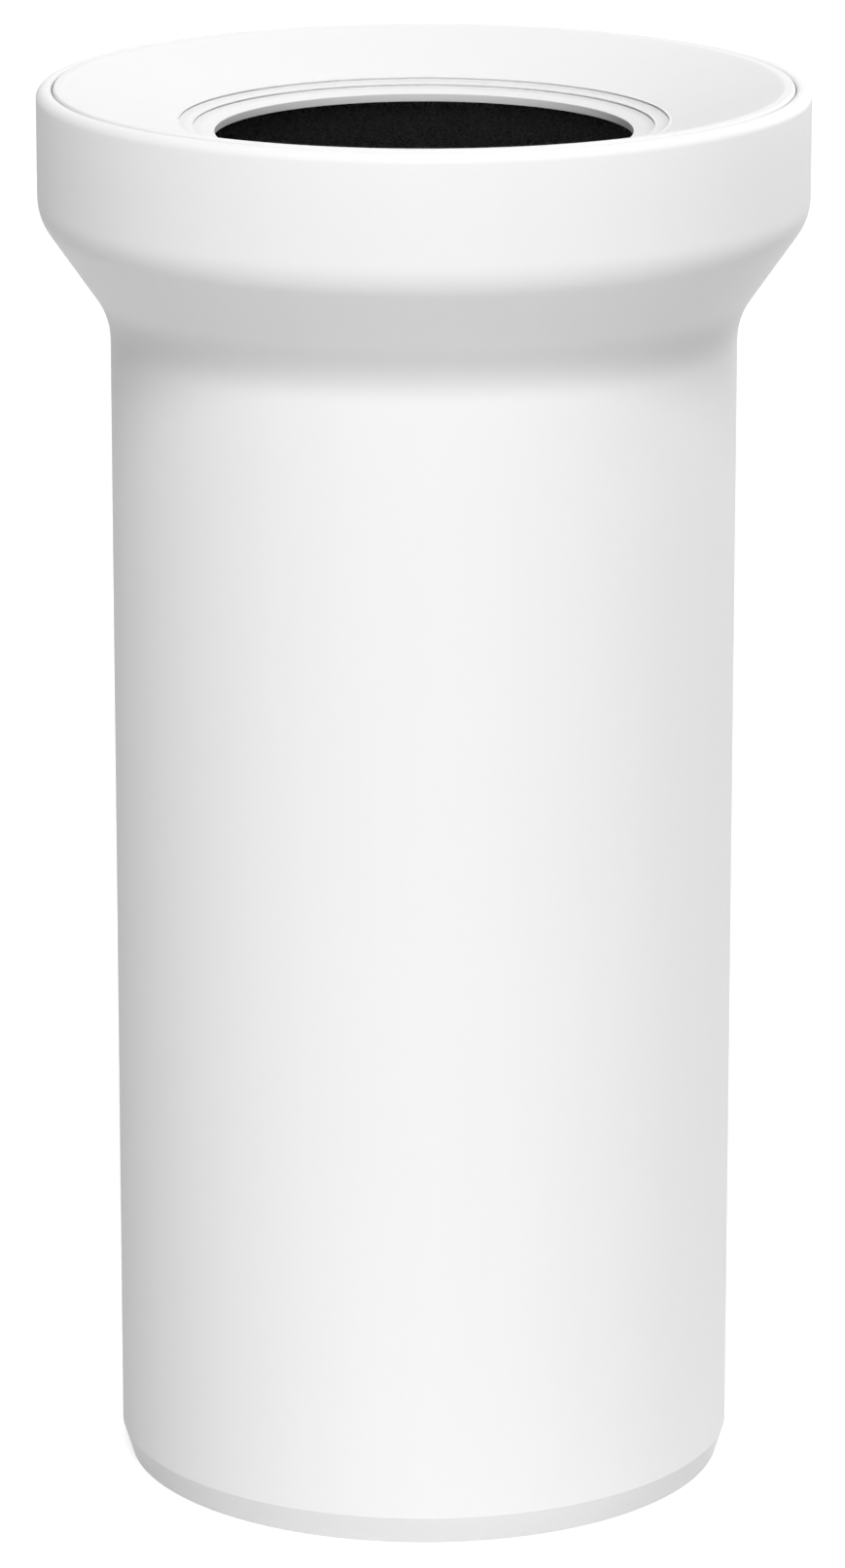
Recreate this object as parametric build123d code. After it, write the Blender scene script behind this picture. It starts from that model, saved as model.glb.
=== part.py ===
from build123d import *
import os
from math import atan2, degrees, radians, sqrt, tan

# Straight toilet pan connector: a moulded pipe with a bell collar that holds two ring seals.
# The origin is the centre of the spigot end, and +Z runs along the pipe to the collar's mouth.
# Every piece is a body of revolution about Z, drawn as a half-section of (radius, height) corners.

# Moulded pipe and its bell collar
MOULDING_LENGTH = 250.0
PIPE_DIAMETER = 110.0
COLLAR_DIAMETER = 135.0
WALL = 2.7
BELL_HEIGHT = 18.0
SHOULDER_ROUND = 10.0
NECK_ROUND = 15.0
RIM_ROUND = 1.9
SPIGOT_CHAMFER_LENGTH = 5.1
SPIGOT_END_LAND = 1.1

# Clearance between each seal and the wall that it is pushed into, and the broken edges of the seam
SEAL_FIT = 0.1
SEAM_CHAMFER = 0.3

# White membrane seal in the collar's mouth
MEMBRANE_HOLE_DIAMETER = 73.0
MEMBRANE_THICKNESS = 1.55
FUNNEL_ANGLE = 17.5
FUNNEL_EDGE_ROUND = 0.8
FLANGE_WIDTH = 2.2
FLANGE_PROUD = 0.2
SKIRT_DEPTH = 11.0
SKIRT_THICKNESS = 2.5
SKIRT_ROOT_CHAMFER = 1.0
HOLE_BAND_WIDTH = 3.65
STEP_BAND_WIDTH = 2.5
BAND_ANGLE = 13.0
STEP_LAND = 0.6
STEP_DROP = 0.34
BEAD_HEIGHT = 0.8

# Black lip seal that lines the bell under the membrane seal
SLEEVE_THICKNESS = 2.5
SLEEVE_STRAIGHT = 10.9
SLEEVE_FOOT_RISE = 6.9
LIP_COUNT = 2
LIP_TIP_DIAMETER = 96.0
LIP_ANGLE = 32.0
LIP_ROOT_THICKNESS = 2.4
LIP_TIP_THICKNESS = 1.4
LIP_TOP_INSET = 2.2
LIP_FOOT_INSET = 4.4

# Smallest fillet that an offset line keeps at a corner
LEAST_ROUND = 0.2

# Places that follow from the sizes
pipe_radius = PIPE_DIAMETER / 2
collar_radius = COLLAR_DIAMETER / 2
flange_level = MOULDING_LENGTH + FLANGE_PROUD
skirt_foot = MOULDING_LENGTH - SKIRT_DEPTH
bead_level = (MOULDING_LENGTH + skirt_foot) / 2
shoulder_level = skirt_foot - SLEEVE_STRAIGHT
neck_level = shoulder_level - BELL_HEIGHT
sleeve_foot = neck_level + SLEEVE_FOOT_RISE
bell_angle = degrees(atan2(collar_radius - pipe_radius, BELL_HEIGHT))
seal_depth = WALL + SEAL_FIT
sleeve_depth = seal_depth + SLEEVE_THICKNESS
seal_radius = collar_radius - seal_depth


def fall(run, angle):
    """Height lost over a radial run on a slope of that many degrees."""
    return run * tan(radians(angle))


def shoulder_corner(depth):
    """Sharp corner between collar and bell, on the line that lies that deep inside the outer skin."""
    return (collar_radius - depth, shoulder_level + fall(depth, bell_angle / 2))


def neck_corner(depth):
    """Sharp corner between bell and pipe, on the line that lies that deep inside the outer skin."""
    return (pipe_radius - depth, neck_level + fall(depth, bell_angle / 2))


def shoulder_round(depth):
    """Fillet at the shoulder corner that keeps the wall even."""
    return max(LEAST_ROUND, SHOULDER_ROUND - depth)


def bell_radius(depth, height):
    """Radius at that height of the collar and the bell's cone, on the line that lies that deep inside."""
    radius, corner_height = shoulder_corner(depth)
    return radius - fall(max(0.0, corner_height - height), bell_angle)


def ridge(radius, size):
    """Corners, from the top down, of a snap ridge with square flanks on a wall of that radius."""
    return [
        (radius, bead_level + size),
        (radius + size, bead_level),
        (radius, bead_level - size),
    ]


def half_section(corners, rounds=()):
    """Half-section with these corners and a fillet at each (corner, radius) of rounds."""
    face = make_face(Polyline(*corners, close=True))
    for corner, radius in rounds:
        face = fillet(face.vertices().sort_by_distance((*corner, 0))[0], radius)
    return face


def turned(face):
    """Body of revolution about Z from a half-section."""
    return revolve(Plane.XZ * face, axis=Axis.Z)


def pipe_body():
    """Pipe, bell and collar moulded in one, with an even wall and a groove for the seal's ridge."""
    bore_radius = pipe_radius - WALL
    mouth_radius = collar_radius - WALL
    rim = (collar_radius, MOULDING_LENGTH)
    corners = [
        (bore_radius + SPIGOT_END_LAND, 0),
        (pipe_radius, SPIGOT_CHAMFER_LENGTH),
        neck_corner(0),
        shoulder_corner(0),
        rim,
        (mouth_radius + SEAM_CHAMFER, MOULDING_LENGTH),
        (mouth_radius, MOULDING_LENGTH - SEAM_CHAMFER),
        *ridge(mouth_radius, BEAD_HEIGHT + (sqrt(2) - 1) * SEAL_FIT),
        shoulder_corner(WALL),
        neck_corner(WALL),
        (bore_radius, 0),
    ]
    rounds = [
        (neck_corner(0), NECK_ROUND),
        (shoulder_corner(0), SHOULDER_ROUND),
        (rim, min(RIM_ROUND, WALL - 2 * SEAM_CHAMFER)),
        (shoulder_corner(WALL), shoulder_round(WALL)),
        (neck_corner(WALL), NECK_ROUND + WALL),
    ]
    return turned(half_section(corners, rounds))


def membrane_seal():
    """White seal: a flange just proud of the rim, a funnel stepped down to its hole, and a ridged skirt."""
    hole_radius = MEMBRANE_HOLE_DIAMETER / 2
    inner_step = hole_radius + HOLE_BAND_WIDTH
    outer_step = inner_step + STEP_BAND_WIDTH
    flange_inner = seal_radius - FLANGE_WIDTH
    skirt_inner = seal_radius - SKIRT_THICKNESS

    outer_land = outer_step + STEP_LAND
    inner_land = inner_step + STEP_LAND
    outer_level = flange_level - fall(flange_inner - outer_land, FUNNEL_ANGLE)
    inner_level = outer_level - STEP_DROP - fall(outer_step - inner_land, BAND_ANGLE)
    hole_level = inner_level - STEP_DROP - fall(HOLE_BAND_WIDTH, BAND_ANGLE)
    under_level = hole_level - MEMBRANE_THICKNESS

    root_edge = skirt_inner - SKIRT_ROOT_CHAMFER
    root_level = under_level + fall(root_edge - hole_radius, FUNNEL_ANGLE)
    funnel_edge = (flange_inner, flange_level)
    corners = [
        (seal_radius - SEAM_CHAMFER, flange_level),
        funnel_edge,
        (outer_land, outer_level),
        (outer_step, outer_level),
        (outer_step, outer_level - STEP_DROP),
        (inner_land, inner_level),
        (inner_step, inner_level),
        (inner_step, inner_level - STEP_DROP),
        (hole_radius, hole_level),
        (hole_radius, under_level),
        (root_edge, root_level),
        (skirt_inner, root_level - SKIRT_ROOT_CHAMFER),
        (skirt_inner, skirt_foot),
        (seal_radius, skirt_foot),
        *reversed(ridge(seal_radius, BEAD_HEIGHT)),
        (seal_radius, flange_level - SEAM_CHAMFER),
    ]
    return turned(half_section(corners, [(funnel_edge, FUNNEL_EDGE_ROUND)]))


def lip(height):
    """Half-section of one lip: a taper from the middle of the sleeve's wall, inward and down to its tip."""
    anchor_depth = seal_depth + SLEEVE_THICKNESS / 2
    root_foot = height - LIP_ROOT_THICKNESS
    root_radius = bell_radius(anchor_depth, height)
    tip_radius = LIP_TIP_DIAMETER / 2
    tip_height = height - fall(root_radius - tip_radius, LIP_ANGLE)
    corners = [
        (root_radius, height),
        (tip_radius, tip_height),
        (tip_radius, tip_height - LIP_TIP_THICKNESS),
        (bell_radius(anchor_depth, root_foot), root_foot),
    ]
    return half_section(corners)


def lip_seal():
    """Black seal: a sleeve that lines the collar and the bell, with lips that close on the pan's outlet."""
    corners = [
        (seal_radius, skirt_foot),
        shoulder_corner(seal_depth),
        (bell_radius(seal_depth, sleeve_foot), sleeve_foot),
        (bell_radius(sleeve_depth, sleeve_foot), sleeve_foot),
        shoulder_corner(sleeve_depth),
        (seal_radius - SLEEVE_THICKNESS, skirt_foot),
    ]
    rounds = [
        (shoulder_corner(seal_depth), shoulder_round(seal_depth)),
        (shoulder_corner(sleeve_depth), shoulder_round(sleeve_depth)),
    ]
    face = half_section(corners, rounds)
    first = skirt_foot - LIP_TOP_INSET
    last = sleeve_foot + LIP_FOOT_INSET
    for index in range(LIP_COUNT):
        face += lip(first + (last - first) * index / max(1, LIP_COUNT - 1))
    return turned(face)


os.makedirs("parts", exist_ok=True)
for make_piece in (pipe_body, membrane_seal, lip_seal):
    export_step(make_piece(), f"parts/{make_piece.__name__}.step")
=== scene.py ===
"""Looks of a straight toilet pan connector: a white moulded pipe with a bell collar, a white stepped membrane
seal in the collar's mouth, and a black lip seal under it, on a plain white studio floor.

Every piece is a surface of revolution about Z. Its half-section is a closed loop of (radius, height) corners
in millimetres, each rounded by an arc, and the loop is carried round the axis.
"""

import logging
import math
from abc import ABC, abstractmethod
from dataclasses import dataclass
from enum import Enum
from typing import ClassVar, Sequence, Union

import bpy
import numpy as np
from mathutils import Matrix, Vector


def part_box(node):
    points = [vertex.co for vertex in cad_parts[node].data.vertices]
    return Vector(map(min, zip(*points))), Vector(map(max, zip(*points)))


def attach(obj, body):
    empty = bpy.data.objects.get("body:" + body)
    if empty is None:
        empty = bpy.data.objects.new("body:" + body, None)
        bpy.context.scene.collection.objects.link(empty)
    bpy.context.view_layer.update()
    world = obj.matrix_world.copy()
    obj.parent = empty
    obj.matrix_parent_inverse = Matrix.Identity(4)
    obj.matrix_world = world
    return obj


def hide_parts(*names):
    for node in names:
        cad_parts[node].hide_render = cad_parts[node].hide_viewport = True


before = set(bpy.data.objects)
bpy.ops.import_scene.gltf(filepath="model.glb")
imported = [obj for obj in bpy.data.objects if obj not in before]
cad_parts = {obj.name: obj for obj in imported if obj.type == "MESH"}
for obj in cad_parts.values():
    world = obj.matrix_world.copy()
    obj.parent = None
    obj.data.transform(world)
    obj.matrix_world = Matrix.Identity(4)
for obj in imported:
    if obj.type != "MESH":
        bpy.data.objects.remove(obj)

LOG = logging.getLogger("pan_connector")
MILLIMETRE = 0.001
IMAGE_HEIGHT = 1613

WHITE = (1.0, 1.0, 1.0, 1.0)
BLACK = (0.0, 0.0, 0.0, 1.0)

# Share of a side that the arcs at its two ends may take together
SHARED_SIDE = 0.98

# Middle of a noise texture's values, and the detail of each noise
NOISE_MIDDLE = 0.5
GRAIN_DETAIL = 2.0
WAVE_DETAIL = 3.0
PATCH_DETAIL = 4.0
STREAK_DETAIL = 2.0
SPECK_DETAIL = 1.0

# Flow streaks are narrow round the pipe and long down its length
STREAK_STRETCH = (5.0, 5.0, 0.35)

# What an input of a node takes: another node's output or a plain value
Source = Union[bpy.types.NodeSocket, float, tuple[float, ...]]


class MaterialSlot(Enum):
    """Material slots of the record that the finishes name."""

    WHITE_POLYPROPYLENE = "white_polypropylene"
    WHITE_ELASTOMER = "white_elastomer"
    BLACK_RUBBER = "black_rubber"


class SocketKind(Enum):
    """Kinds of socket that the shared node groups have."""

    VECTOR = "NodeSocketVector"
    COLOR = "NodeSocketColor"
    VALUE = "NodeSocketFloat"


@dataclass(frozen=True)
class Corner:
    """One corner of a half-section, in millimetres, with the radius of the arc that rounds it."""

    radius: float
    height: float
    rounding: float = 0.1


def rounded_loop(corners: Sequence[Corner], arc_points: int = 9, longest_run: float = 9.0) -> np.ndarray:
    """Closed outline through the corners, each rounded by an arc that touches both its sides.

    At a corner P, a and b are the unit vectors to its neighbours and w is the angle between them. An arc of
    radius r touches the sides at the distance r / tan(w / 2) from P, its centre lies on the bisector at
    r / sin(w / 2), and it sweeps pi - w. With s and e from the centre to its two ends, the arc's point at the
    share k is the centre plus (sin((1 - k) sweep) s + sin(k sweep) e) / sin(sweep). Arcs that would meet on a
    side shrink to share it. Straight runs longer than longest_run are divided evenly.

    Args:
        corners: corners in order, counter-clockwise with the radius to the right and the height upwards.
        arc_points: points on each arc.
        longest_run: longest straight step between two points, in millimetres.

    Returns:
        Array of (radius, height) rows, in millimetres.
    """
    points = np.array([(corner.radius, corner.height) for corner in corners])
    rounding = np.array([corner.rounding for corner in corners])
    back = np.roll(points, 1, axis=0) - points
    ahead = np.roll(points, -1, axis=0) - points
    back_length = np.linalg.norm(back, axis=1)
    ahead_length = np.linalg.norm(ahead, axis=1)
    back /= back_length[:, None]
    ahead /= ahead_length[:, None]
    half_angle = np.arccos(np.clip((back * ahead).sum(axis=1), -1.0, 1.0)) / 2
    touch = rounding / np.tan(half_angle)
    room = np.minimum(1.0, SHARED_SIDE * ahead_length / (touch + np.roll(touch, -1)))
    touch *= np.minimum(room, np.roll(room, 1))
    radius = touch * np.tan(half_angle)

    bisector = back + ahead
    bisector /= np.linalg.norm(bisector, axis=1)[:, None]
    centre = points + bisector * (radius / np.sin(half_angle))[:, None]
    start = (points + back * touch[:, None] - centre)[:, None]
    end = (points + ahead * touch[:, None] - centre)[:, None]
    sweep = (np.pi - 2 * half_angle)[:, None, None]
    share = np.linspace(0.0, 1.0, arc_points)[None, :, None]
    arcs = (np.sin((1 - share) * sweep) * start + np.sin(share * sweep) * end) / np.sin(sweep)
    arcs += centre[:, None]

    loop = []
    for arc, following in zip(arcs, np.roll(arcs, -1, axis=0)):
        run = following[0] - arc[-1]
        steps = max(1, math.ceil(np.linalg.norm(run) / longest_run))
        inner = np.arange(1, steps)[:, None] / steps
        loop.append(np.concatenate([arc, arc[-1] + inner * run]))
    return np.concatenate(loop)


def turned_mesh(name: str, loop: np.ndarray, segments: int) -> bpy.types.Mesh:
    """Surface of revolution from a closed half-section.

    The two parameters are the place s along the loop and the angle t about Z. The point is
    (r(s) cos t, r(s) sin t, h(s)). Both parameters close on themselves, so the mesh has no seam and no pole.

    Args:
        name: name of the mesh.
        loop: (radius, height) rows in millimetres, counter-clockwise.
        segments: steps round the axis.

    Returns:
        Smooth-shaded mesh in metres, with its faces outwards.
    """
    angle = np.linspace(0.0, 2 * np.pi, segments, endpoint=False)
    radius = loop[:, 0, None] * MILLIMETRE
    height = np.broadcast_to(loop[:, 1, None] * MILLIMETRE, (len(loop), segments))
    grid = np.stack([radius * np.cos(angle), radius * np.sin(angle), height], axis=-1)
    index = np.arange(len(loop) * segments).reshape(len(loop), segments)
    beside = np.roll(index, -1, axis=1)
    faces = np.stack([index, beside, np.roll(beside, -1, axis=0), np.roll(index, -1, axis=0)], axis=-1)

    mesh = bpy.data.meshes.new(name)
    mesh.from_pydata(grid.reshape(-1, 3).tolist(), [], faces.reshape(-1, 4).tolist())
    mesh.polygons.foreach_set("use_smooth", np.ones(len(mesh.polygons), dtype=bool))
    mesh.update()
    return mesh


def placed_object(name: str, data: bpy.types.ID) -> bpy.types.Object:
    """New object in the scene, at the origin.

    Args:
        name: name of the object.
        data: its mesh, lamp or camera.

    Returns:
        The object.
    """
    made = bpy.data.objects.new(name, data)
    bpy.context.scene.collection.objects.link(made)
    return made


class NodeSketch:
    """A node tree while it is drawn, with short ways to add its nodes."""

    def __init__(self, tree: bpy.types.NodeTree) -> None:
        """Starts on a tree."""
        self.tree = tree

    def fill(self, node: bpy.types.Node, inputs: dict[str | int, Source]) -> None:
        """Links each named input of a node to its source, or sets it where the source is a plain value.

        Args:
            node: node of the tree.
            inputs: sources by the name or the number of the input.
        """
        for key, source in inputs.items():
            if isinstance(source, bpy.types.NodeSocket):
                self.tree.links.new(source, node.inputs[key])
            else:
                node.inputs[key].default_value = source

    def add(self, kind: str, inputs: dict[str | int, Source], **settings: object) -> bpy.types.Node:
        """Adds one node. Its settings come first, since they decide which sockets it has.

        Args:
            kind: type of the node.
            inputs: sources by the name or the number of the input.
            **settings: values of the node's own properties.

        Returns:
            The node.
        """
        node = self.tree.nodes.new(kind)
        for name, value in settings.items():
            setattr(node, name, value)
        self.fill(node, inputs)
        return node

    def math(self, operation: str, *terms: Source, clamp: bool = False) -> bpy.types.NodeSocket:
        """Adds one math node.

        Args:
            operation: what it does with its terms.
            *terms: sources of its inputs, in order.
            clamp: whether the result is kept between 0 and 1.

        Returns:
            Socket with the result.
        """
        node = self.add("ShaderNodeMath", dict(enumerate(terms)), operation=operation, use_clamp=clamp)
        return node.outputs["Value"]

    def blend(self, share: Source, first: Source, second: Source,
              kind: str = "FLOAT") -> bpy.types.NodeSocket:
        """Adds one mix node.

        Args:
            share: share of the second source.
            first: first source.
            second: second source.
            kind: FLOAT for values or RGBA for colours.

        Returns:
            Socket with the mixture.
        """
        node = self.add("ShaderNodeMix", {"Factor": share, "A": first, "B": second}, data_type=kind)
        return node.outputs["Result"]

    def noise(self, place: Source, scale: Source, detail: float) -> bpy.types.NodeSocket:
        """Adds one noise texture.

        Args:
            place: coordinates.
            scale: scale of the noise.
            detail: number of finer layers.

        Returns:
            Socket with its value.
        """
        node = self.add("ShaderNodeTexNoise", {"Vector": place, "Scale": scale, "Detail": detail})
        return node.outputs["Fac"]


class GroupSketch(NodeSketch):
    """A shader node group while it is drawn: it takes Coordinates, colours and values."""

    def __init__(self, name: str, colors: Sequence[str], values: dict[str, float],
                 results: dict[str, SocketKind]) -> None:
        """Makes the group and its named sockets.

        Args:
            name: name of the group.
            colors: names of the colour inputs.
            values: names and defaults of the value inputs.
            results: names and kinds of the outputs.
        """
        super().__init__(bpy.data.node_groups.new(name, "ShaderNodeTree"))
        sockets = self.tree.interface
        sockets.new_socket(name="Coordinates", in_out="INPUT", socket_type=SocketKind.VECTOR.value)
        for color in colors:
            sockets.new_socket(name=color, in_out="INPUT", socket_type=SocketKind.COLOR.value)
        for value, default in values.items():
            socket = sockets.new_socket(name=value, in_out="INPUT", socket_type=SocketKind.VALUE.value)
            socket.default_value = default
        for result, kind in results.items():
            sockets.new_socket(name=result, in_out="OUTPUT", socket_type=kind.value)
        self.entry = self.tree.nodes.new("NodeGroupInput")
        self.leave = self.tree.nodes.new("NodeGroupOutput")

    def __getitem__(self, name: str) -> bpy.types.NodeSocket:
        """Named input of the group, as a source for its nodes."""
        return self.entry.outputs[name]

    def finished(self, results: dict[str, Source]) -> bpy.types.NodeTree:
        """Links the outputs of the group.

        Args:
            results: sources by the name of the output.

        Returns:
            The group.
        """
        self.fill(self.leave, results)
        return self.tree

    def distance(self) -> bpy.types.NodeSocket:
        """Distance of the place from Z, as the length of (x, y, 0).

        Returns:
            Socket with the distance.
        """
        flat = (1.0, 1.0, 0.0)
        level = self.add("ShaderNodeVectorMath", {0: self["Coordinates"], 1: flat}, operation="MULTIPLY")
        length = self.add("ShaderNodeVectorMath", {0: level.outputs["Vector"]}, operation="LENGTH")
        return length.outputs["Value"]

    def height(self) -> bpy.types.NodeSocket:
        """Height of the place above the spigot end."""
        return self.add("ShaderNodeSeparateXYZ", {"Vector": self["Coordinates"]}).outputs["Z"]

    def dimmed(self, color: Source, amount: Source) -> bpy.types.NodeSocket:
        """Colour with a share of it taken away."""
        return self.blend(amount, color, BLACK, "RGBA")


class ShaderGroups:
    """Shader node groups that the finishes share, each built once."""

    def __init__(self) -> None:
        """Builds the groups."""
        self.grain = self._build_grain()
        self.drift = self._build_drift()
        self.rings = self._build_rings()
        self.crease = self._build_crease()
        self.hollow = self._build_hollow()

    @staticmethod
    def _build_grain() -> bpy.types.NodeTree:
        """Moulded grain: fine noise over a broader waviness, as a height and a roughness.

        Returns:
            Node group with Coordinates, Grain Scale, Wave Scale, Wave Share, Roughness and Roughness Spread
            in, and Height and Roughness out.
        """
        group = GroupSketch(
            "moulded_grain",
            colors=(),
            values={
                "Grain Scale": 1500.0,
                "Wave Scale": 60.0,
                "Wave Share": 0.4,
                "Roughness": 0.4,
                "Roughness Spread": 0.06,
            },
            results={"Height": SocketKind.VALUE, "Roughness": SocketKind.VALUE},
        )
        grain = group.noise(group["Coordinates"], group["Grain Scale"], GRAIN_DETAIL)
        wave = group.noise(group["Coordinates"], group["Wave Scale"], WAVE_DETAIL)
        height = group.blend(group["Wave Share"], grain, wave)
        centred = group.math("SUBTRACT", height, NOISE_MIDDLE)
        rough = group.math("MULTIPLY_ADD", centred, group["Roughness Spread"], group["Roughness"], clamp=True)
        return group.finished({"Height": height, "Roughness": rough})

    @staticmethod
    def _build_drift() -> bpy.types.NodeTree:
        """Tone drift: slow patches, flow streaks along the axis and fine specks that shift a base colour.

        Returns:
            Node group with Coordinates, Base Color, Drift Color, Patch Scale, Speck Scale, Speck Contrast,
            Speck Share and Amount in, and Color out.
        """
        group = GroupSketch(
            "tone_drift",
            colors=("Base Color", "Drift Color"),
            values={
                "Patch Scale": 30.0,
                "Speck Scale": 2000.0,
                "Speck Contrast": 1.0,
                "Speck Share": 0.3,
                "Amount": 0.5,
            },
            results={"Color": SocketKind.COLOR},
        )
        place = group["Coordinates"]
        stretch = group.add("ShaderNodeMapping", {"Vector": place, "Scale": STREAK_STRETCH})
        patch = group.noise(place, group["Patch Scale"], PATCH_DETAIL)
        streak = group.noise(stretch.outputs["Vector"], group["Patch Scale"], STREAK_DETAIL)
        slow = group.math("MULTIPLY", patch, streak)
        speck = group.noise(place, group["Speck Scale"], SPECK_DETAIL)
        centred = group.math("SUBTRACT", speck, NOISE_MIDDLE)
        sharp = group.math("MULTIPLY_ADD", centred, group["Speck Contrast"], NOISE_MIDDLE, clamp=True)
        both = group.blend(group["Speck Share"], slow, sharp)
        amount = group.math("MULTIPLY", both, group["Amount"], clamp=True)
        color = group.blend(amount, group["Base Color"], group["Drift Color"], "RGBA")
        return group.finished({"Color": color})

    @staticmethod
    def _build_rings() -> bpy.types.NodeTree:
        """Thin ring shade: painted shade, a colour dimmed in two stages towards the axis, by the distance
        from Z.

        Returns:
            Node group with Coordinates, Color, Outer Radius, Outer Dimming, Inner Radius, Inner Dimming and
            Softness in, and Color out.
        """
        group = GroupSketch(
            "thin_ring_shade",
            colors=("Color",),
            values={
                "Outer Radius": 0.06,
                "Outer Dimming": 0.04,
                "Inner Radius": 0.04,
                "Inner Dimming": 0.04,
                "Softness": 0.0003,
            },
            results={"Color": SocketKind.COLOR},
        )
        distance = group.distance()
        color = group["Color"]
        for ring in ("Outer", "Inner"):
            within = group.math("SUBTRACT", group[f"{ring} Radius"], distance)
            mask = group.math("DIVIDE", within, group["Softness"], clamp=True)
            color = group.dimmed(color, group.math("MULTIPLY", mask, group[f"{ring} Dimming"]))
        return group.finished({"Color": color})

    @staticmethod
    def _build_crease() -> bpy.types.NodeTree:
        """Crease shade: painted shade, a colour dimmed along a ring about Z, fading inward and outward from
        its radius.

        Returns:
            Node group with Coordinates, Color, Radius, Inner Width, Outer Width, Least Height and Depth in,
            and Color out.
        """
        group = GroupSketch(
            "crease_shade",
            colors=("Color",),
            values={
                "Radius": 0.06,
                "Inner Width": 0.001,
                "Outer Width": 0.001,
                "Least Height": 0.0,
                "Depth": 0.1,
            },
            results={"Color": SocketKind.COLOR},
        )
        distance = group.distance()
        outward = group.math("SUBTRACT", distance, group["Radius"])
        inward = group.math("SUBTRACT", group["Radius"], distance)
        outer_share = group.math("DIVIDE", outward, group["Outer Width"])
        inner_share = group.math("DIVIDE", inward, group["Inner Width"])
        away = group.math("MAXIMUM", outer_share, inner_share)
        near = group.math("SUBTRACT", 1.0, away, clamp=True)
        above = group.math("GREATER_THAN", group.height(), group["Least Height"])
        here = group.math("MULTIPLY", near, above)
        amount = group.math("MULTIPLY", here, group["Depth"], clamp=True)
        return group.finished({"Color": group.dimmed(group["Color"], amount)})

    @staticmethod
    def _build_hollow() -> bpy.types.NodeTree:
        """Hollow shade: painted shade, a colour dimmed near a ring about Z, by the distance from it in the
        half-section.

        Returns:
            Node group with Coordinates, Color, Radius, Height, Reach and Depth in, and Color out.
        """
        group = GroupSketch(
            "hollow_shade",
            colors=("Color",),
            values={"Radius": 0.06, "Height": 0.0, "Reach": 0.005, "Depth": 0.1},
            results={"Color": SocketKind.COLOR},
        )
        point = group.add("ShaderNodeCombineXYZ", {"X": group.distance(), "Y": group.height()})
        ring = group.add("ShaderNodeCombineXYZ", {"X": group["Radius"], "Y": group["Height"]})
        ends = {0: point.outputs["Vector"], 1: ring.outputs["Vector"]}
        apart = group.add("ShaderNodeVectorMath", ends, operation="DISTANCE")
        limits = {
            "Value": apart.outputs["Value"],
            "From Max": group["Reach"],
            "To Min": group["Depth"],
            "To Max": 0.0,
        }
        amount = group.add("ShaderNodeMapRange", limits, interpolation_type="SMOOTHSTEP")
        return group.finished({"Color": group.dimmed(group["Color"], amount.outputs["Result"])})


class Shade(ABC):
    """Painted shade of a finish that follows the form of its piece; sizes in metres."""

    @abstractmethod
    def group(self, groups: ShaderGroups) -> bpy.types.NodeTree:
        """Shared node group that casts it."""

    @abstractmethod
    def values(self) -> dict[str, float]:
        """Values of the group's inputs, by their names."""


@dataclass(frozen=True)
class ThinRingShade(Shade):
    """Painted shade of the dark inside showing through a thin ring, more so towards its hole."""

    funnel_radius: float
    funnel_dimming: float
    band_radius: float
    band_dimming: float

    def group(self, groups: ShaderGroups) -> bpy.types.NodeTree:
        """Shared node group that casts it."""
        return groups.rings

    def values(self) -> dict[str, float]:
        """Radius and dimming of the funnel and of the bands round the hole.

        Returns:
            Values of the group's inputs, by their names.
        """
        return {
            "Outer Radius": self.funnel_radius,
            "Outer Dimming": self.funnel_dimming,
            "Inner Radius": self.band_radius,
            "Inner Dimming": self.band_dimming,
        }


@dataclass(frozen=True)
class Crease(Shade):
    """Painted shade in a ring-shaped crease, with the share of the colour that it takes as its depth."""

    radius: float
    inner_width: float
    outer_width: float
    depth: float
    least_height: float = 0.0

    def group(self, groups: ShaderGroups) -> bpy.types.NodeTree:
        """Shared node group that casts it."""
        return groups.crease

    def values(self) -> dict[str, float]:
        """Place, widths and depth of the crease.

        Returns:
            Values of the group's inputs, by their names.
        """
        return {
            "Radius": self.radius,
            "Inner Width": self.inner_width,
            "Outer Width": self.outer_width,
            "Least Height": self.least_height,
            "Depth": self.depth,
        }


@dataclass(frozen=True)
class Hollow(Shade):
    """Painted shade in a hollow that runs round the piece, from a ring in front of it, with its reach and
    depth.
    """

    radius: float
    height: float
    reach: float
    depth: float

    def group(self, groups: ShaderGroups) -> bpy.types.NodeTree:
        """Shared node group that casts it."""
        return groups.hollow

    def values(self) -> dict[str, float]:
        """Place of the ring, reach and depth."""
        return {"Radius": self.radius, "Height": self.height, "Reach": self.reach, "Depth": self.depth}


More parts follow.
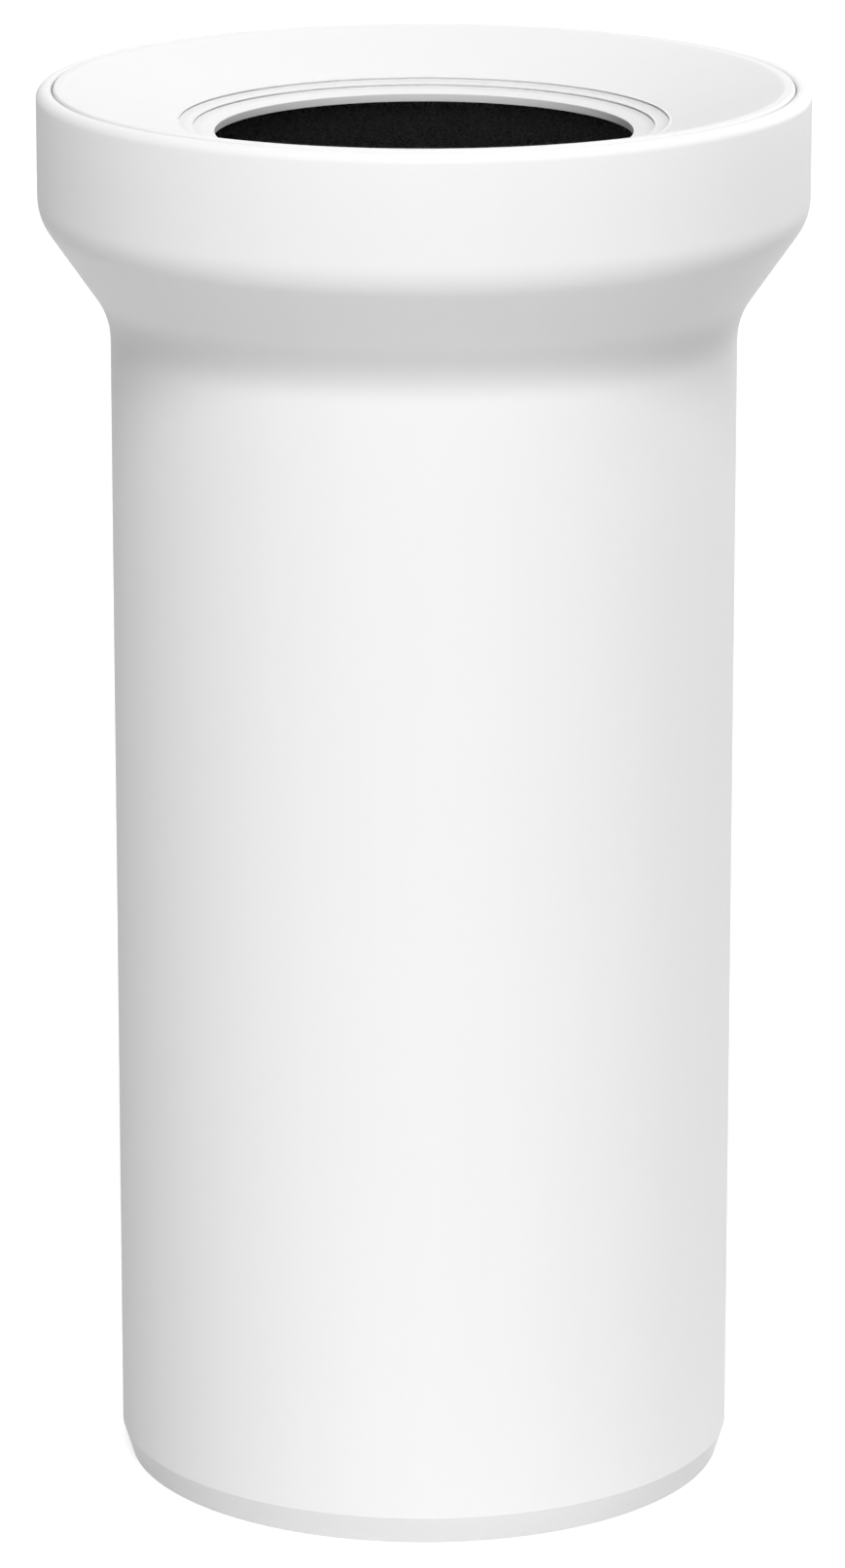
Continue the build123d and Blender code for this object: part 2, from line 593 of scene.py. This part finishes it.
@dataclass(frozen=True, kw_only=True)
class Finish:
    """Finish of one moulded piece: its colours, gloss, grain and painted shades."""

    name: str
    slot: MaterialSlot
    color: tuple[float, float, float]
    drift_color: tuple[float, float, float]
    drift_amount: float
    patch_scale: float
    speck_scale: float
    speck_contrast: float
    speck_share: float
    roughness: float
    roughness_spread: float
    specular: float
    grain_scale: float
    wave_scale: float
    wave_share: float
    bump_strength: float
    bump_distance: float
    shades: tuple[Shade, ...] = ()

    def material(self, groups: ShaderGroups) -> bpy.types.Material:
        """Procedural material of this finish.

        Args:
            groups: shared node groups.

        Returns:
            Material that reads Object coordinates.
        """
        material = bpy.data.materials.new(self.name)
        material.use_nodes = True
        sketch = NodeSketch(material.node_tree)
        place = sketch.add("ShaderNodeTexCoord", {}).outputs["Object"]

        drift = {
            "Coordinates": place,
            "Base Color": (*self.color, 1.0),
            "Drift Color": (*self.drift_color, 1.0),
            "Patch Scale": self.patch_scale,
            "Speck Scale": self.speck_scale,
            "Speck Contrast": self.speck_contrast,
            "Speck Share": self.speck_share,
            "Amount": self.drift_amount,
        }
        color = sketch.add("ShaderNodeGroup", drift, node_tree=groups.drift).outputs["Color"]
        # Painted shades dim the colour where shade falls
        for shade in self.shades:
            inputs = {"Coordinates": place, "Color": color, **shade.values()}
            color = sketch.add("ShaderNodeGroup", inputs, node_tree=shade.group(groups)).outputs["Color"]

        texture = {
            "Coordinates": place,
            "Grain Scale": self.grain_scale,
            "Wave Scale": self.wave_scale,
            "Wave Share": self.wave_share,
            "Roughness": self.roughness,
            "Roughness Spread": self.roughness_spread,
        }
        grain = sketch.add("ShaderNodeGroup", texture, node_tree=groups.grain)
        relief = {
            "Strength": self.bump_strength,
            "Distance": self.bump_distance,
            "Height": grain.outputs["Height"],
        }
        bump = sketch.add("ShaderNodeBump", relief)
        surface = {
            "Base Color": color,
            "Roughness": grain.outputs["Roughness"],
            "Normal": bump.outputs["Normal"],
            "Specular IOR Level": self.specular,
        }
        sketch.fill(material.node_tree.nodes["Principled BSDF"], surface)
        return material


MOULDED_WHITE = Finish(
    name="moulded_white_plastic",
    slot=MaterialSlot.WHITE_POLYPROPYLENE,
    color=(0.88, 0.88, 0.88),
    drift_color=(0.82, 0.82, 0.82),
    drift_amount=0.6,
    patch_scale=26.0,
    speck_scale=1400.0,
    speck_contrast=1.0,
    speck_share=0.25,
    roughness=0.55,
    roughness_spread=0.10,
    specular=0.25,
    grain_scale=1900.0,
    wave_scale=70.0,
    wave_share=0.35,
    bump_strength=0.12,
    bump_distance=0.00003,
    # Painted shade in the seam at the rim and in the hollow under the bell
    shades=(
        Crease(radius=0.0648, inner_width=0.001, outer_width=0.0006, depth=0.2, least_height=0.247),
        Hollow(radius=0.0586, height=0.2096, reach=0.0068, depth=0.13),
    ),
)

SOFT_WHITE = Finish(
    name="soft_white_elastomer",
    slot=MaterialSlot.WHITE_ELASTOMER,
    color=(0.87, 0.87, 0.87),
    drift_color=(0.81, 0.81, 0.81),
    drift_amount=0.6,
    patch_scale=40.0,
    speck_scale=1800.0,
    speck_contrast=1.0,
    speck_share=0.25,
    roughness=0.62,
    roughness_spread=0.10,
    specular=0.25,
    grain_scale=2600.0,
    wave_scale=110.0,
    wave_share=0.3,
    bump_strength=0.12,
    bump_distance=0.00003,
    # Painted shade on the thin middle, at the two steps and in the seam at the rim
    shades=(
        ThinRingShade(funnel_radius=0.0627, funnel_dimming=0.04, band_radius=0.0426, band_dimming=0.02),
        Crease(radius=0.04264, inner_width=0.0015, outer_width=0.00001, depth=0.12),
        Crease(radius=0.04014, inner_width=0.0015, outer_width=0.00001, depth=0.12),
        Crease(radius=0.0647, inner_width=0.0004, outer_width=0.001, depth=0.12, least_height=0.247),
    ),
)

BLACK_RUBBER = Finish(
    name="black_seal_rubber",
    slot=MaterialSlot.BLACK_RUBBER,
    color=(0.02, 0.02, 0.02),
    drift_color=(0.17, 0.17, 0.171),
    drift_amount=0.9,
    patch_scale=60.0,
    speck_scale=2200.0,
    speck_contrast=2.2,
    speck_share=0.85,
    roughness=0.62,
    roughness_spread=0.16,
    specular=0.35,
    grain_scale=1700.0,
    wave_scale=160.0,
    wave_share=0.3,
    bump_strength=0.35,
    bump_distance=0.00006,
)


@dataclass(frozen=True)
class Bell:
    """Lines of the collar and bell that the moulding and both seals share, in millimetres."""

    overall_length: float
    collar_radius: float
    pipe_radius: float = 55.0
    wall: float = 2.7
    bell_height: float = 18.0
    shoulder_round: float = 10.0
    neck_round: float = 15.0
    seal_fit: float = 0.1
    skirt_depth: float = 11.0
    sleeve_straight: float = 10.9
    ridge_foot_round: float = 0.15
    ridge_tip_round: float = 0.25

    @property
    def skirt_foot(self) -> float:
        """Height where the membrane seal's skirt meets the lip seal."""
        return self.overall_length - self.skirt_depth

    @property
    def ridge_level(self) -> float:
        """Height of the snap ridge, half-way down the skirt."""
        return (self.overall_length + self.skirt_foot) / 2

    @property
    def shoulder_level(self) -> float:
        """Height of the sharp corner between collar and bell on the outer skin."""
        return self.skirt_foot - self.sleeve_straight

    @property
    def neck_level(self) -> float:
        """Height of the sharp corner between bell and pipe on the outer skin."""
        return self.shoulder_level - self.bell_height

    @property
    def slope(self) -> float:
        """Angle of the bell's cone to the axis, in radians."""
        return math.atan2(self.collar_radius - self.pipe_radius, self.bell_height)

    @property
    def seal_depth(self) -> float:
        """Depth of the seals' outer wall inside the outer skin."""
        return self.wall + self.seal_fit

    @property
    def seal_radius(self) -> float:
        """Outer radius of both seals in the collar."""
        return self.collar_radius - self.seal_depth

    def shoulder(self, depth: float) -> Corner:
        """Corner between collar and bell on the line that lies depth inside the outer skin.

        Args:
            depth: distance from the outer skin.

        Returns:
            Corner whose rounding keeps the wall even.
        """
        height = self.shoulder_level + depth * math.tan(self.slope / 2)
        return Corner(self.collar_radius - depth, height, self.shoulder_round - depth)

    def neck(self, depth: float) -> Corner:
        """Corner between bell and pipe on the line that lies depth inside the outer skin.

        Args:
            depth: distance from the outer skin.

        Returns:
            Corner whose rounding keeps the wall even.
        """
        height = self.neck_level + depth * math.tan(self.slope / 2)
        return Corner(self.pipe_radius - depth, height, self.neck_round + depth)

    def radius_at(self, depth: float, height: float) -> float:
        """Radius of the collar or of the bell's cone at a height, on the line that lies depth inside.

        Args:
            depth: distance from the outer skin.
            height: height above the spigot end.

        Returns:
            Radius in millimetres.
        """
        corner = self.shoulder(depth)
        return corner.radius - max(0.0, corner.height - height) * math.tan(self.slope)

    def ridge(self, radius: float, size: float) -> list[Corner]:
        """Snap ridge with square flanks on a wall, from the bottom up.

        Args:
            radius: radius of the wall.
            size: how far the ridge stands out, and half its height.

        Returns:
            Its three corners.
        """
        return [
            Corner(radius, self.ridge_level - size, self.ridge_foot_round),
            Corner(radius + size, self.ridge_level, self.ridge_tip_round),
            Corner(radius, self.ridge_level + size, self.ridge_foot_round),
        ]


@dataclass(frozen=True)
class TurnedPiece(ABC):
    """A piece of the connector that is a surface of revolution and stands for one CAD node."""

    bell: Bell

    segments: ClassVar[int] = 288
    node: ClassVar[str]
    piece_name: ClassVar[str]

    @abstractmethod
    def corners(self) -> list[Corner]:
        """Corners of the half-section, counter-clockwise."""

    def build(self) -> bpy.types.Object:
        """Builds the piece in place, on the root body, in the stead of its CAD node.

        Returns:
            Object at the origin with its place in its mesh.
        """
        mesh = turned_mesh(self.piece_name, rounded_loop(self.corners()), self.segments)
        piece = placed_object(self.piece_name, mesh)
        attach(piece, "root")
        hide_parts(self.node)
        return piece

    def dress(self, piece: bpy.types.Object, finish: Finish, groups: ShaderGroups) -> None:
        """Gives the piece its finish.

        Args:
            piece: the built object.
            finish: finish of the piece.
            groups: shared node groups.
        """
        piece.data.materials.append(finish.material(groups))


@dataclass(frozen=True)
class PipeMoulding(TurnedPiece):
    """White pipe, bell and collar in one moulding, in millimetres."""

    rim_round: float = 1.75
    seam_run: float = 0.45
    seam_drop: float = 0.26
    seam_round: float = 1.3
    chamfer_length: float = 5.1
    end_land: float = 1.1
    chamfer_round: float = 0.2
    end_round: float = 0.15
    groove_size: float = 0.84

    node: ClassVar[str] = "pipe_body"
    piece_name: ClassVar[str] = "pipe_moulding"

    def corners(self) -> list[Corner]:
        """Half-section from the spigot end up the outside, over the rim and down the inside.

        Returns:
            Corners, counter-clockwise.
        """
        bell = self.bell
        bore = bell.pipe_radius - bell.wall
        mouth = bell.collar_radius - bell.wall
        return [
            Corner(bore, 0.0, self.end_round),
            Corner(bore + self.end_land, 0.0, self.end_round),
            Corner(bell.pipe_radius, self.chamfer_length, self.chamfer_round),
            bell.neck(0.0),
            bell.shoulder(0.0),
            Corner(bell.collar_radius, bell.overall_length, self.rim_round),
            Corner(mouth + self.seam_run, bell.overall_length, self.seam_round),
            Corner(mouth, bell.overall_length - self.seam_drop, self.end_round),
            *reversed(bell.ridge(mouth, self.groove_size)),
            bell.shoulder(bell.wall),
            bell.neck(bell.wall),
        ]


@dataclass(frozen=True)
class MembraneSeal(TurnedPiece):
    """White ring with a flange just proud of the rim, a stepped funnel and a skirt.

    Sizes are in millimetres and angles in degrees.
    """

    hole_radius: float = 36.5
    thickness: float = 1.55
    funnel_angle: float = 17.33
    band_angle: float = 9.6
    funnel_edge_round: float = 1.5
    flange_width: float = 2.0
    flange_proud: float = 0.2
    flange_edge_run: float = 0.3
    flange_edge_drop: float = 0.45
    flange_edge_round: float = 0.5
    seam_taper: float = 0.1
    seam_depth: float = 1.2
    hole_band: float = 3.65
    step_band: float = 2.5
    step_drop: float = 0.4
    step_land: float = 0.6
    step_undercut: float = 0.55
    step_round: float = 0.03
    hole_edge_round: float = 0.15
    hole_under_round: float = 0.1
    skirt_thickness: float = 2.5
    skirt_root_round: float = 1.2
    ridge_size: float = 0.8

    node: ClassVar[str] = "membrane_seal"
    piece_name: ClassVar[str] = "funnel_membrane"

    def corners(self) -> list[Corner]:
        """Half-section from the skirt's foot up its wall, over the flange, down the funnel and back under it.

        Returns:
            Corners, counter-clockwise.
        """
        bell = self.bell
        top = bell.overall_length + self.flange_proud
        tilt = math.radians(self.band_angle)
        fall = math.tan(math.radians(self.funnel_angle))
        band_fall = math.tan(tilt)
        flange = bell.seal_radius - self.flange_width
        flange_edge = bell.seal_radius - self.seam_taper
        skirt = bell.seal_radius - self.skirt_thickness
        inner_step = self.hole_radius + self.hole_band
        outer_step = inner_step + self.step_band
        inner_foot = inner_step + self.step_undercut
        outer_foot = outer_step + self.step_undercut
        inner_land = inner_step + self.step_land
        outer_land = outer_step + self.step_land
        outer_level = top - (flange - outer_land) * fall
        inner_level = outer_level - self.step_drop - (outer_foot - inner_land) * band_fall
        hole_level = inner_level - self.step_drop - (inner_foot - self.hole_radius) * band_fall
        under_level = hole_level - self.thickness * math.cos(tilt)
        under_radius = self.hole_radius + self.thickness * math.sin(tilt)
        return [
            Corner(skirt, bell.skirt_foot),
            Corner(bell.seal_radius, bell.skirt_foot),
            *bell.ridge(bell.seal_radius, self.ridge_size),
            Corner(bell.seal_radius, top - self.seam_depth),
            Corner(flange_edge, top - self.flange_edge_drop),
            Corner(flange_edge - self.flange_edge_run, top, self.flange_edge_round),
            Corner(flange, top, self.funnel_edge_round),
            Corner(outer_land, outer_level, self.step_round),
            Corner(outer_step, outer_level, self.step_round),
            Corner(outer_foot, outer_level - self.step_drop, self.step_round),
            Corner(inner_land, inner_level, self.step_round),
            Corner(inner_step, inner_level, self.step_round),
            Corner(inner_foot, inner_level - self.step_drop, self.step_round),
            Corner(self.hole_radius, hole_level, self.hole_edge_round),
            Corner(under_radius, under_level, self.hole_under_round),
            Corner(skirt, under_level + (skirt - under_radius) * fall, self.skirt_root_round),
        ]


@dataclass(frozen=True)
class LipSeal(TurnedPiece):
    """Black ring whose sleeve lines the collar and bell, with lips inward and down.

    Sizes are in millimetres and angles in degrees. side_samples is the length of the table that finds where a
    lip meets the sleeve.
    """

    sleeve_thickness: float = 2.5
    foot_rise: float = 6.9
    foot_round: float = 0.5
    lip_count: int = 2
    lip_tip_radius: float = 48.0
    lip_angle: float = 32.0
    lip_root: float = 2.4
    lip_tip: float = 1.4
    lip_root_round: float = 0.6
    lip_tip_round: float = 0.35
    top_inset: float = 2.2
    foot_inset: float = 4.4
    side_samples: int = 400

    node: ClassVar[str] = "lip_seal"
    piece_name: ClassVar[str] = "lip_ring"

    def lip(self, height: float) -> list[Corner]:
        """One lip: a taper from the sleeve's inner wall, inward and down to its tip, from the top down.

        Args:
            height: height of its upper side at the middle of the sleeve's wall.

        Returns:
            Its four corners: root, tip, tip and root.
        """
        bell = self.bell
        anchor = bell.seal_depth + self.sleeve_thickness / 2
        inner = bell.seal_depth + self.sleeve_thickness
        root = np.array([bell.radius_at(anchor, height), height])
        drop = (root[0] - self.lip_tip_radius) * math.tan(math.radians(self.lip_angle))
        tip = np.array([self.lip_tip_radius, height - drop])
        foot = np.array([bell.radius_at(anchor, height - self.lip_root), height - self.lip_root])
        under = tip - (0.0, self.lip_tip)
        upper_root = self.wall_crossing(inner, root, tip)
        lower_root = self.wall_crossing(inner, foot, under)
        return [
            Corner(*upper_root, self.lip_root_round),
            Corner(*tip, self.lip_tip_round),
            Corner(*under, self.lip_tip_round),
            Corner(*lower_root, self.lip_root_round),
        ]

    def wall_crossing(self, depth: float, outer: np.ndarray, inner: np.ndarray) -> np.ndarray:
        """Point where a lip's side crosses the sleeve's inner wall.

        The gap between the side and the wall is tabulated along the side, and its zero is read off by linear
        interpolation.

        Args:
            depth: depth of the sleeve's inner wall inside the outer skin.
            outer: end of the side inside the sleeve.
            inner: end of the side at the tip.

        Returns:
            (radius, height) of the crossing.
        """
        share = np.linspace(0.0, 1.0, self.side_samples)
        side = outer + share[:, None] * (inner - outer)
        corner = self.bell.shoulder(depth)
        below = np.maximum(0.0, corner.height - side[:, 1])
        gap = corner.radius - below * math.tan(self.bell.slope) - side[:, 0]
        return outer + np.interp(0.0, gap, share) * (inner - outer)

    def corners(self) -> list[Corner]:
        """Half-section from the foot up the outer wall, over the top and down the lips.

        Returns:
            Corners, counter-clockwise.
        """
        bell = self.bell
        inner = bell.seal_depth + self.sleeve_thickness
        foot = bell.neck_level + self.foot_rise
        first = bell.skirt_foot - self.top_inset
        last = foot + self.foot_inset
        lips = [self.lip(height) for height in np.linspace(first, last, self.lip_count)]
        return [
            Corner(bell.radius_at(inner, foot), foot, self.foot_round),
            Corner(bell.radius_at(bell.seal_depth, foot), foot, self.foot_round),
            bell.shoulder(bell.seal_depth),
            Corner(bell.seal_radius, bell.skirt_foot),
            Corner(bell.seal_radius - self.sleeve_thickness, bell.skirt_foot),
            *lips[0],
            bell.shoulder(inner),
            *[corner for lip in lips[1:] for corner in lip],
        ]


@dataclass(frozen=True)
class Lamp:
    """A soft lamp far away: its direction as seen from the object, in degrees, its spread and strength."""

    name: str
    azimuth: float
    elevation: float
    spread: float
    strength: float

    def light(self) -> bpy.types.Object:
        """Sun lamp that shines from its direction; azimuth 0 is the camera's side and 90 is the right.

        Returns:
            Lamp object.
        """
        turn, rise = math.radians(self.azimuth), math.radians(self.elevation)
        level = math.cos(rise)
        towards = Vector((math.sin(turn) * level, -math.cos(turn) * level, math.sin(rise)))
        data = bpy.data.lights.new(self.name, "SUN")
        data.angle = math.radians(self.spread)
        data.energy = self.strength
        lamp = placed_object(self.name, data)
        lamp.rotation_mode = "QUATERNION"
        lamp.rotation_quaternion = towards.to_track_quat("Z", "Y")
        return lamp


@dataclass(frozen=True)
class Viewpoint:
    """Camera at the photograph's viewing angle, in metres and degrees, with its focal length in pixels."""

    distance: float = 1.2295
    height: float = 0.4619
    pitch: float = 15.373
    focal_pixels: float = 7339.8
    axis_offset_pixels: float = 1.5
    sensor: float = 36.0

    def place(self) -> None:
        """Puts the camera in front of the object, looking along +Y and down by the pitch."""
        data = bpy.data.cameras.new("camera")
        data.sensor_width = self.sensor
        data.lens = self.sensor * self.focal_pixels / IMAGE_HEIGHT
        data.shift_x = -self.axis_offset_pixels / IMAGE_HEIGHT
        camera = placed_object("camera", data)
        camera.location = (0.0, -self.distance, self.height)
        camera.rotation_euler = (math.radians(90.0 - self.pitch), 0.0, 0.0)
        bpy.context.scene.camera = camera


@dataclass(frozen=True)
class Studio:
    """Plain white studio: a floor, an even sky and a few soft lamps."""

    lamps: tuple[Lamp, ...]
    sky_strength: float
    floor_radius: float = 12.0
    floor_segments: int = 96
    floor_rings: int = 24
    floor_color: tuple[float, float, float] = (0.66, 0.66, 0.66)
    floor_glow: float = 0.8
    floor_shadow_color: tuple[float, float, float] = (0.3, 0.3, 0.3)

    @staticmethod
    def _seen_directly(sketch: NodeSketch) -> bpy.types.NodeSocket:
        """Mask of the rays that show the background: camera, glossy and transmission rays.

        Args:
            sketch: nodes of the floor's material or of the world.

        Returns:
            Socket that is 1 on those rays.
        """
        path = sketch.add("ShaderNodeLightPath", {})
        either = sketch.math("MAXIMUM", path.outputs["Is Camera Ray"], path.outputs["Is Glossy Ray"])
        return sketch.math("MAXIMUM", either, path.outputs["Is Transmission Ray"])

    def build_world(self) -> None:
        """Even sky for the light, and plain white where the background shows."""
        world = bpy.data.worlds.new("white_studio")
        world.use_nodes = True
        sketch = NodeSketch(world.node_tree)
        sky = world.node_tree.nodes["Background"]
        sketch.fill(sky, {"Color": WHITE, "Strength": self.sky_strength})
        white = sketch.add("ShaderNodeBackground", {"Color": WHITE, "Strength": 1.0})
        either = {
            "Fac": self._seen_directly(sketch),
            1: sky.outputs["Background"],
            2: white.outputs["Background"],
        }
        mix = sketch.add("ShaderNodeMixShader", either)
        sketch.fill(world.node_tree.nodes["World Output"], {"Surface": mix.outputs["Shader"]})
        bpy.context.scene.world = world

    def floor_material(self) -> bpy.types.Material:
        """Pale floor: where it is seen, a glow lifts it to white and a diffuse share keeps the shadow.

        Returns:
            Material of the floor.
        """
        material = bpy.data.materials.new("white_floor")
        material.use_nodes = True
        nodes = material.node_tree.nodes
        nodes.remove(nodes["Principled BSDF"])
        sketch = NodeSketch(material.node_tree)
        bounce = sketch.add("ShaderNodeBsdfDiffuse", {"Color": (*self.floor_color, 1.0)})
        shaded = sketch.add("ShaderNodeBsdfDiffuse", {"Color": (*self.floor_shadow_color, 1.0)})
        glow = sketch.add("ShaderNodeEmission", {"Strength": self.floor_glow})
        seen = sketch.add("ShaderNodeAddShader", {0: shaded.outputs["BSDF"], 1: glow.outputs["Emission"]})
        either = {
            "Fac": self._seen_directly(sketch),
            1: bounce.outputs["BSDF"],
            2: seen.outputs["Shader"],
        }
        mix = sketch.add("ShaderNodeMixShader", either)
        sketch.fill(nodes["Material Output"], {"Surface": mix.outputs["Shader"]})
        return material

    def build_floor(self) -> None:
        """Round floor under the object: the angle and the radius are its two parameters.

        Its rings stand at radii that grow by squares from the centre, and the innermost one is filled.
        """
        angle = np.linspace(0.0, 2 * np.pi, self.floor_segments, endpoint=False)
        radius = self.floor_radius * np.linspace(0.0, 1.0, self.floor_rings)[1:, None] ** 2
        across, along = radius * np.cos(angle), radius * np.sin(angle)
        rings = np.stack([across, along, np.zeros_like(across)], axis=-1)
        index = np.arange(across.size).reshape(across.shape)
        beside = np.roll(index, -1, axis=1)
        quads = np.stack([index[:-1], index[1:], beside[1:], beside[:-1]], axis=-1).reshape(-1, 4)
        mesh = bpy.data.meshes.new("studio_floor")
        mesh.from_pydata(rings.reshape(-1, 3).tolist(), [], quads.tolist() + [index[0].tolist()])
        mesh.materials.append(self.floor_material())
        floor = placed_object("studio_floor", mesh)

    def build(self) -> None:
        """Builds the sky, the floor and the lamps."""
        bpy.context.scene.view_settings.view_transform = "Standard"
        self.build_world()
        self.build_floor()
        for lamp in self.lamps:
            lamp.light()


def main() -> None:
    """Builds and dresses the pieces in order, then the studio and the camera."""
    logging.basicConfig(level=logging.INFO, format="%(name)s: %(message)s")
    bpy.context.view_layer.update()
    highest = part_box("pipe_body")[1] / MILLIMETRE
    bell = Bell(overall_length=highest.z, collar_radius=highest.x)
    groups = ShaderGroups()
    dressed = (
        (PipeMoulding(bell), MOULDED_WHITE),
        (MembraneSeal(bell), SOFT_WHITE),
        (LipSeal(bell), BLACK_RUBBER),
    )
    for part, finish in dressed:
        piece = part.build()
        part.dress(piece, finish, groups)
        LOG.info("%s: %d faces in %s", piece.name, len(piece.data.polygons), finish.name)

    Studio(
        lamps=(
            Lamp("front_key", azimuth=2.0, elevation=51.0, spread=18.0, strength=2.84),
            Lamp("low_fill", azimuth=-4.0, elevation=12.0, spread=16.0, strength=0.38),
            Lamp("right_edge", azimuth=140.0, elevation=12.0, spread=30.0, strength=1.18),
            Lamp("right_side", azimuth=112.0, elevation=50.0, spread=20.0, strength=0.48),
            Lamp("left_back", azimuth=-140.0, elevation=30.0, spread=45.0, strength=0.08),
            Lamp("back_fill", azimuth=180.0, elevation=40.0, spread=45.0, strength=0.30),
        ),
        sky_strength=0.03,
    ).build()
    Viewpoint().place()


if __name__ == "__main__":
    main()
